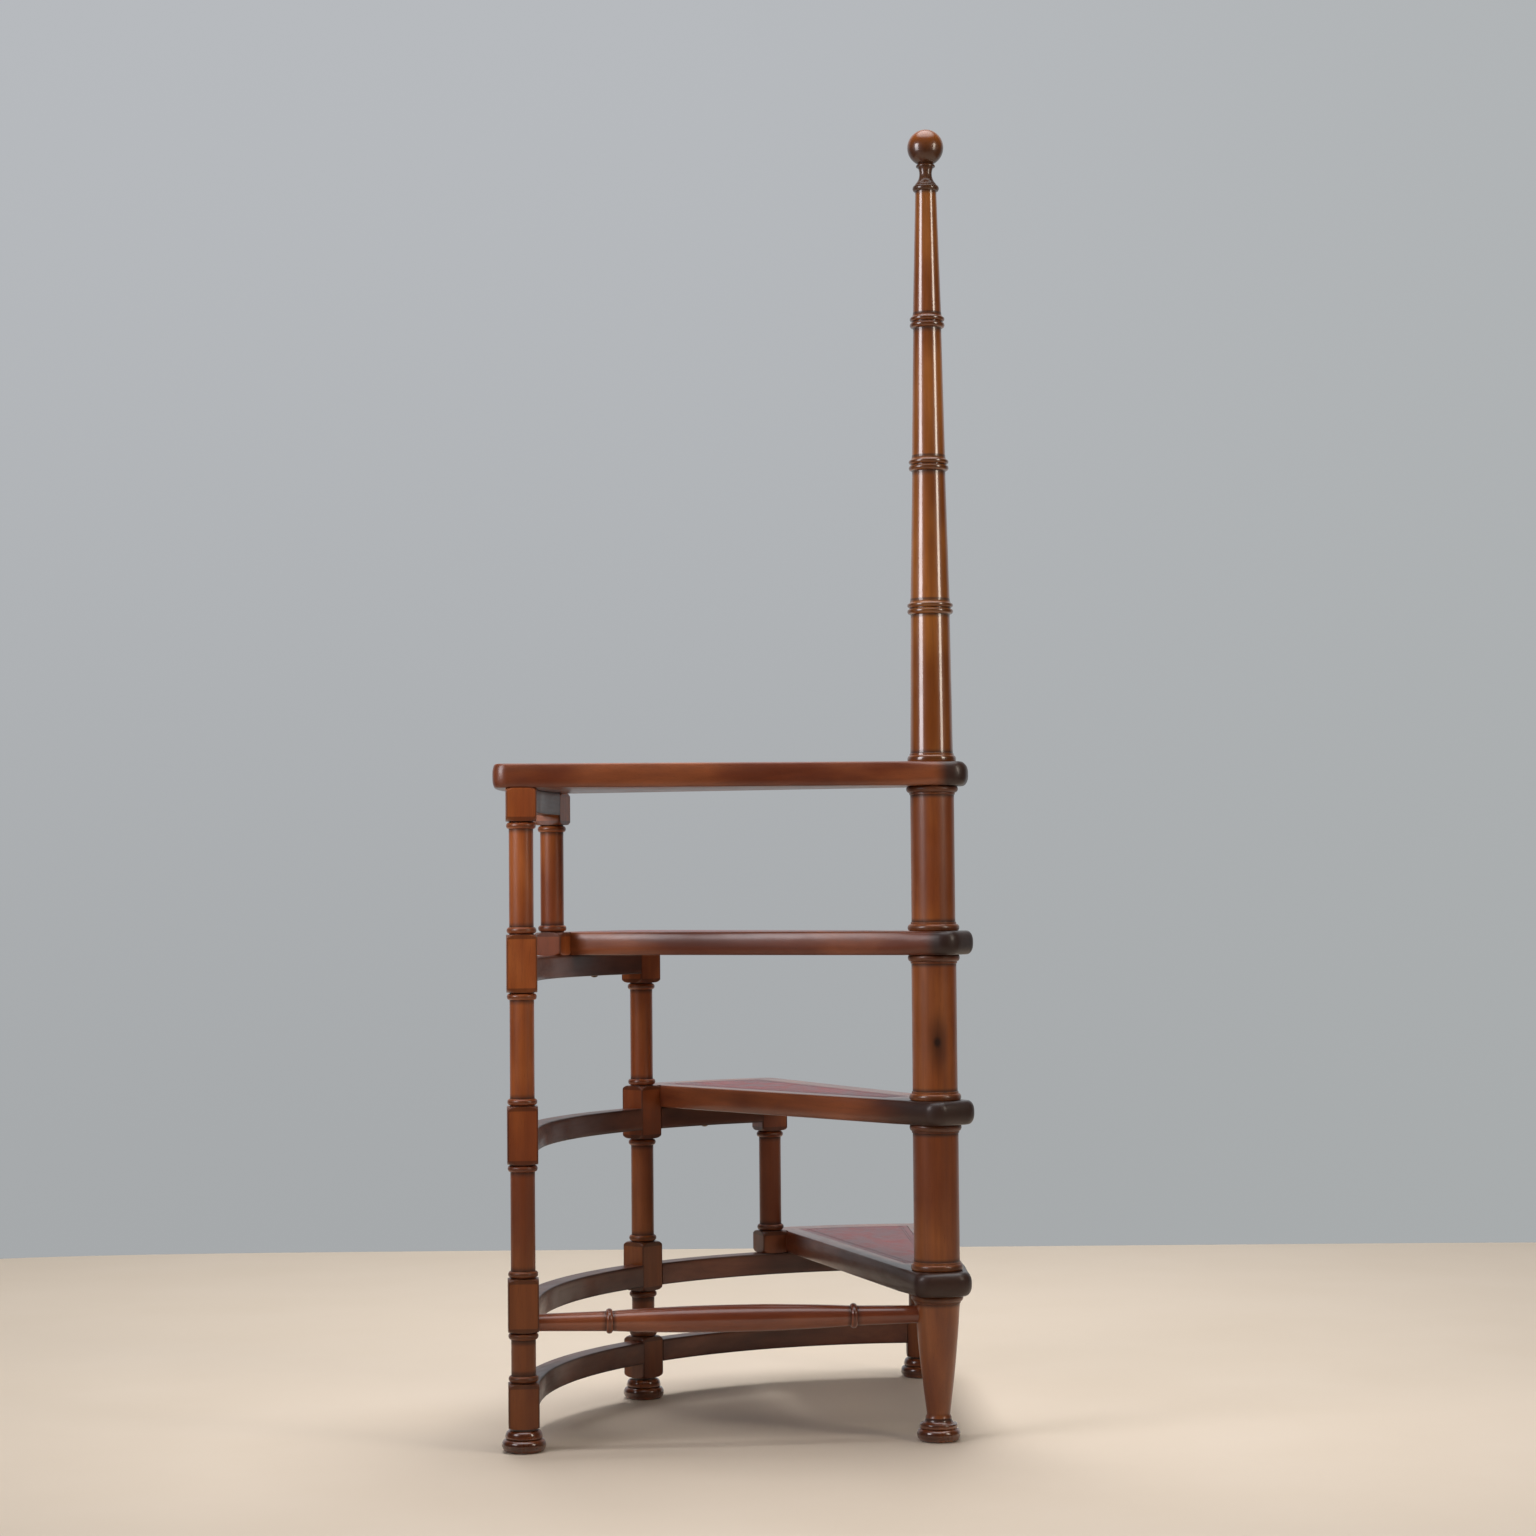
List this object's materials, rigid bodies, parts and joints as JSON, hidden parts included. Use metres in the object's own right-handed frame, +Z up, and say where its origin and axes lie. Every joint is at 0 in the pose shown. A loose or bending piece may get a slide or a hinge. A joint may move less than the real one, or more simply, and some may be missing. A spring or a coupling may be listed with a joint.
{
  "type": "spiral library steps",
  "caption": "Free-standing quarter-turn library steps: leather-topped wedge treads round a turned pole that rises as a ball-topped hand pole, on turned posts and curved rails.",
  "frame": {"origin": "on the floor, at the centre of the pole foot's sole, which is on the pole's axis", "axes": "+Z up along the pole; -X from the pole to the back post; the steps climb anticlockwise seen from above, from +Y round to -X"},
  "size_m": [0.7171, 0.6813, 1.871],
  "materials": {
    "tread_wood": "polished mahogany stain",
    "leather": "waxed, tooled border line",
    "pole_wood": "polished, honey brown stain",
    "foot_wood": "glossy dark red-brown stain",
    "post_wood": "polished mahogany stain",
    "rail_wood": "polished dark mahogany stain",
    "dowel_wood": "bare beech",
    "screw_steel": "darkened steel"
  },
  "bodies": {
    "root": {"tread_1": "tread_wood", "tread_2": "tread_wood", "tread_3": "tread_wood", "tread_4": "tread_wood", "leather_1": "leather", "leather_2": "leather", "leather_3": "leather", "leather_4": "leather", "pole_foot": "foot_wood", "pole_leg": "pole_wood", "pole_section_1": "pole_wood", "pole_section_2": "pole_wood", "pole_section_3": "pole_wood", "hand_pole": "pole_wood", "ball_finial": "pole_wood", "back_post": "post_wood", "step_4_post": "post_wood", "step_3_post": "post_wood", "step_2_post": "post_wood", "step_1_post": "post_wood", "back_post_foot": "foot_wood", "step_3_post_foot": "foot_wood", "step_1_post_foot": "foot_wood", "low_rail_back": "rail_wood", "low_rail_front": "rail_wood", "rail_1_back": "rail_wood", "rail_1_front": "rail_wood", "rail_2_back": "rail_wood", "rail_2_front": "rail_wood", "rail_3": "rail_wood", "rail_4": "rail_wood", "stretcher": "rail_wood", "rail_dowels": "dowel_wood", "post_dowels": "dowel_wood", "tread_screws": "screw_steel"}
  },
  "joints": []
}
